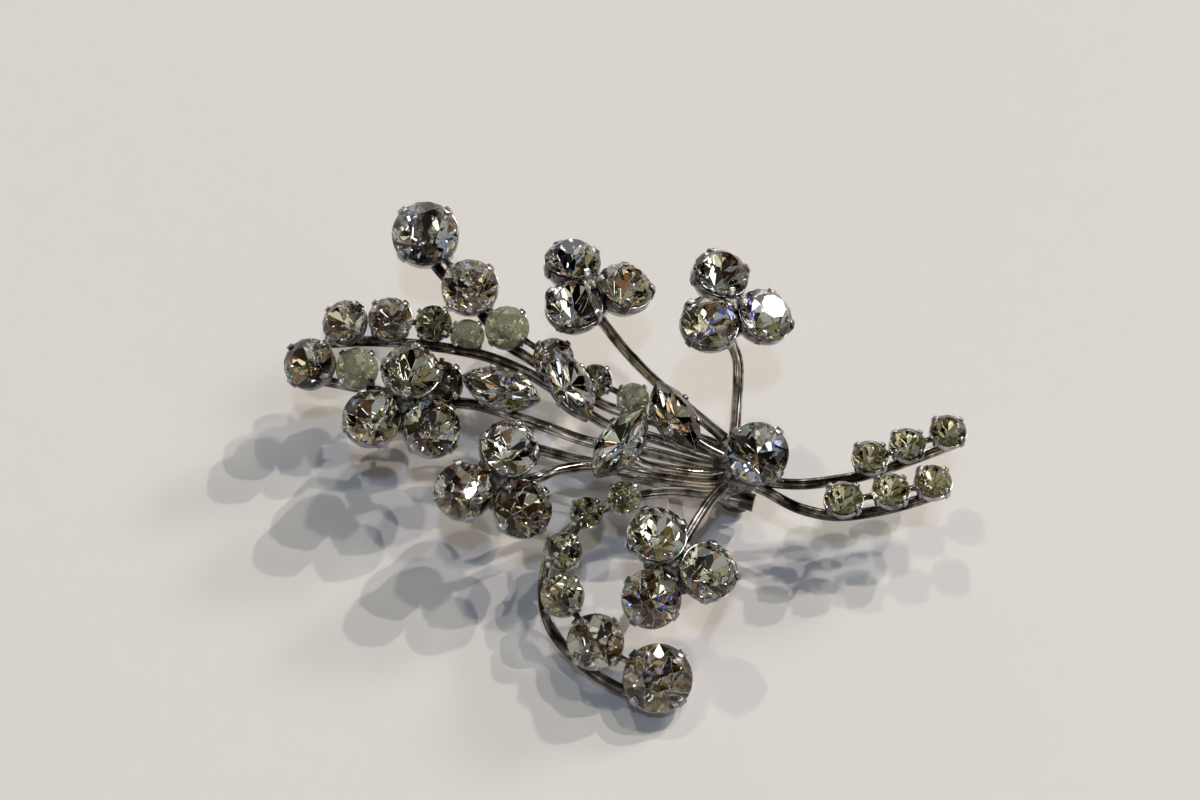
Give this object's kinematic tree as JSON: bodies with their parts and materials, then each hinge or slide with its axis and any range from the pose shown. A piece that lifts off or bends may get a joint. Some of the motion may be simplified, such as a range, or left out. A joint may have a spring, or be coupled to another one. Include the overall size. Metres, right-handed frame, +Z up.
{
  "type": "crystal brooch",
  "caption": "Spray brooch of claw-set crystals: wired sprays, leaves and trefoils run out from one solder joint, with a pin on the back.",
  "frame": {"origin": "on the surface that the brooch lies on, under the middle of its bounding box", "axes": "+Z up, out of the crystals' fronts; +X along the brooch, from the tip of the left sprays to the tails; +Y from the bottom trefoils to the top ones"},
  "size_m": [0.0728, 0.0559, 0.0217],
  "materials": {
    "metal": "silver-coloured plating, worn and tarnished",
    "crystal_clear": "cut crystal with a silvered foil back",
    "crystal_olive": "cut crystal whose foil back has yellowed",
    "crystal_cloudy": "cut crystal gone cloudy"
  },
  "bodies": {
    "root": {"hub_setting": "metal", "spray_a_setting": "metal", "spray_b_setting": "metal", "spray_c_setting": "metal", "spray_d_setting": "metal", "tail_setting": "metal", "trefoil_2_setting": "metal", "trefoil_3_setting": "metal", "trefoil_4_setting": "metal", "trefoil_5_setting": "metal", "pin_back": "metal", "centre_stone": "crystal_clear", "spray_a_stone_1": "crystal_clear", "spray_a_stone_2": "crystal_clear", "spray_a_stone_3": "crystal_cloudy", "spray_a_stone_4": "crystal_clear", "spray_a_stone_5": "crystal_clear", "spray_a_stone_6": "crystal_cloudy", "spray_b_stone_1": "crystal_clear", "spray_b_stone_2": "crystal_clear", "spray_b_stone_3": "crystal_olive", "spray_b_stone_4": "crystal_cloudy", "spray_c_stone_1": "crystal_clear", "spray_c_stone_2": "crystal_cloudy", "spray_c_stone_3": "crystal_olive", "spray_d_stone_1": "crystal_olive", "spray_d_stone_2": "crystal_olive", "spray_d_stone_3": "crystal_olive", "spray_d_stone_4": "crystal_olive", "spray_d_stone_5": "crystal_clear", "spray_d_stone_6": "crystal_clear", "tail_stone_1": "crystal_olive", "tail_stone_2": "crystal_olive", "tail_stone_3": "crystal_olive", "tail_stone_4": "crystal_olive", "tail_stone_5": "crystal_olive", "tail_stone_6": "crystal_olive", "leaf_stone_1": "crystal_clear", "leaf_stone_2": "crystal_clear", "leaf_stone_3": "crystal_clear", "leaf_stone_4": "crystal_clear", "trefoil_1_stone_1": "crystal_clear", "trefoil_1_stone_2": "crystal_clear", "trefoil_1_stone_3": "crystal_clear", "trefoil_2_stone_1": "crystal_clear", "trefoil_2_stone_2": "crystal_clear", "trefoil_2_stone_3": "crystal_clear", "trefoil_3_stone_1": "crystal_clear", "trefoil_3_stone_2": "crystal_clear", "trefoil_3_stone_3": "crystal_clear", "trefoil_4_stone_1": "crystal_clear", "trefoil_4_stone_2": "crystal_clear", "trefoil_4_stone_3": "crystal_clear", "trefoil_5_stone_1": "crystal_clear", "trefoil_5_stone_2": "crystal_clear", "trefoil_5_stone_3": "crystal_clear"}
  },
  "joints": []
}
